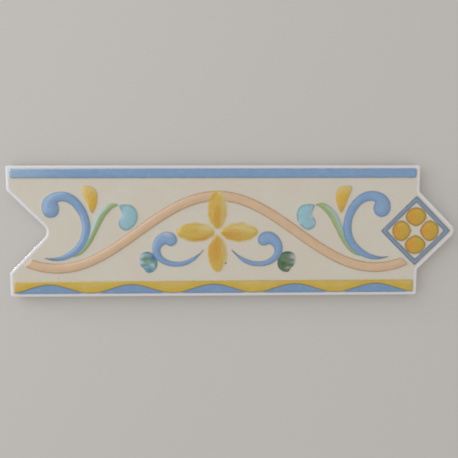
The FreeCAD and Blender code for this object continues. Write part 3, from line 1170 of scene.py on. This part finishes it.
def glaze_material():
    """Painted ornament under a bright clear glaze."""
    net = Nodes("bright_glaze")
    place = net.place()
    fine = net.noise(place, 900.0, 2.0)
    medium = net.noise(place, 260.0, 3.0)
    broad = net.noise(place, 45.0, 2.0)

    # Ivory ground, whiter along the rim, where the glaze runs thin, and bluish white there as a painted sheen
    ground = net.blend(net.step(broad, 0.3, 0.7), IVORY, WARM_IVORY)
    ground = net.blend(net.times(net.step(medium, 0.45, 0.75), 0.2), ground, CLOUDY_IVORY)
    rim = net.plus(net.attribute("rim"), net.times(medium, 0.8))
    ground = net.blend(net.times(net.step(rim, 1.5, 3.0, 1.0, 0.0), 0.95), ground, RIM_WHITE)

    # Where the paint ends: it strays a little, and fades out more widely on loosely painted forms
    wobble = net.times(net.minus(medium, 0.5), 0.45)
    fray = net.times(net.minus(fine, 0.5), 0.3)
    strictness = net.attribute("line")
    loose = net.step(strictness, 0.0, 0.3, 1.0, 0.0)
    drift = net.times(net.plus(wobble, fray), net.minus(1.0, net.times(loose, 0.65)))
    edge = net.plus(net.attribute("edge"), drift)
    full_at = net.minus(-0.25, net.times(loose, 0.55))
    none_at = net.plus(0.35, net.times(loose, 0.75))
    cover = net.step(edge, full_at, none_at, 1.0, 0.0)

    # Brush streaks in the paint, stronger on loosely painted forms
    brush = net.vector(net.times(net.attribute("run"), 0.12), net.times(net.attribute("span"), 0.55))
    streak = net.noise(brush, 1.0, 3.0, 0.55)
    half_loose = net.times(loose, 0.5)
    paint = net.blend(net.step(streak, 0.3, 0.75), net.attribute("paint", "Color"), STREAK_TINT, "MULTIPLY")
    paint = net.blend(net.times(net.step(streak, 0.42, 0.3), half_loose), paint, PALE_YELLOW)
    paint = net.blend(net.times(net.step(streak, 0.52, 0.68), half_loose), paint, OCHRE)
    paint = net.blend(net.times(net.step(medium, 0.5, 0.8), 0.12), paint, IVORY)

    # Darker line inside each form's edge, and along the wavy line
    line = net.times(net.step(edge, -1.1, -0.25), strictness)
    paint = net.blend(net.times(line, 0.25), paint, EDGE_GREY)
    # Dark line along the wavy line: a painted outline with painted shade at the step between yellow and blue
    wave = net.plus(net.attribute("wave"), net.times(wobble, 0.7))
    seam = net.step(net.math("ABSOLUTE", wave), 0.2, 0.7, 1.0, 0.0)
    paint = net.blend(net.times(seam, 0.55), paint, OUTLINE_AND_SHADE_OLIVE)
    colour = net.blend(cover, ground, paint)

    # Glaze pooled round the foot of each form
    pool = net.times(net.step(edge, 0.1, 1.0, 1.0, 0.0), net.step(edge, -0.3, 0.1))
    colour = net.blend(net.times(net.times(pool, strictness), 0.3), colour, POOL_GREY)
    colour = add_specks(net, colour, place, fine)

    swell = net.noise(place, 120.0, 1.0)
    dimple = net.noise(place, 500.0, 2.0)
    normal = net.bump(net.plus(swell, net.times(dimple, 0.25)), glaze_bump, 0.6)
    net.shade({"Base Color": colour, "Roughness": 0.32, "Normal": normal})
    net.shade({"Coat Weight": 1.0, "Coat Roughness": 0.07, "Coat IOR": 1.5, "Coat Normal": normal})
    return net.material


def biscuit_material():
    """Bare fired clay of the back and the lower sides."""
    net = Nodes("bare_biscuit")
    place = net.place()
    grain = net.noise(place, 2600.0, 3.0, 0.7)
    blotch = net.noise(place, 60.0, 3.0)
    pits = net.noise(place, 700.0, 1.0)
    colour = net.blend(net.step(blotch, 0.3, 0.7), BISCUIT, DULL_BISCUIT)
    colour = net.blend(net.times(net.step(grain, 0.5, 0.75), 0.4), colour, DARK_BISCUIT)
    colour = net.blend(net.times(net.step(pits, 0.68, 0.74), 0.6), colour, PALE_BISCUIT)
    normal = net.bump(net.plus(grain, blotch), biscuit_bump, 0.7)
    net.shade({"Base Color": colour, "Roughness": 0.85, "Specular IOR Level": 0.25, "Normal": normal})
    return net.material


def add_floor():
    """Plain pale floor, which belongs to the stage."""
    bpy.ops.mesh.primitive_plane_add(size=8.0, location=(0, 0, 0))
    floor = bpy.context.object
    floor.name = "floor"
    net = Nodes("pale_floor")
    net.shade({"Base Color": (0.55, 0.55, 0.55), "Roughness": 0.9, "Specular IOR Level": 0.1})
    floor.data.materials.append(net.material)


def add_lamp(name, place, target, size, power, colour, spread=180.0):
    """Rectangular lamp, in metres and watts, turned to its target."""
    data = bpy.data.lights.new(name, "AREA")
    data.shape = "RECTANGLE"
    data.size, data.size_y = size
    data.energy = power
    data.spread = math.radians(spread)
    data.color = colour
    lamp = bpy.data.objects.new(name, data)
    lamp.location = place
    direction = Vector(target) - Vector(place)
    lamp.rotation_euler = direction.to_track_quat("-Z", "Y").to_euler()
    bpy.context.scene.collection.objects.link(lamp)


def add_lights():
    """A large soft box, a small low lamp for the glints along the left rim, and a warm pale world."""
    world = bpy.data.worlds.new("studio")
    bpy.context.scene.world = world
    world.use_nodes = True
    background = world.node_tree.nodes["Background"]
    background.inputs["Color"].default_value = (1.0, 0.94, 0.86, 1.0)
    background.inputs["Strength"].default_value = 0.7
    add_lamp("softbox", (-0.9, 0.5, 0.75), (0, 0, 0), (1.8, 1.1), power=7.4, colour=(0.93, 0.98, 1.0))
    rim = (-0.12, 0.02, 0)
    add_lamp("window", (-1.3, 0.5, 0.2), rim, (0.12, 0.12), power=0.25, colour=(0.95, 0.96, 1.0), spread=60.0)


def add_camera():
    """The camera of the photo, fitted to the tile's corners in it."""
    scene = bpy.context.scene
    camera = bpy.data.cameras.new("camera")
    camera.sensor_width = 36.0
    camera.lens = camera.sensor_width / 2 / math.tan(math.radians(camera_view / 2))
    camera.clip_start = 0.01
    tilt = Matrix.Identity(4)
    for axis, degrees in CAMERA_TURNS:
        tilt = tilt @ Matrix.Rotation(math.radians(degrees), 4, axis)
    camera_object = bpy.data.objects.new("camera", camera)
    camera_object.matrix_world = Matrix.Translation(Vector(CAMERA_PLACE) * MM) @ tilt
    scene.collection.objects.link(camera_object)
    scene.camera = camera_object
    scene.view_settings.view_transform = "Standard"


tile = build_tile()
tile.data.materials.append(glaze_material())
tile.data.materials.append(biscuit_material())
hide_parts("border_tile")
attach(tile, "root")
add_floor()
add_lights()
add_camera()
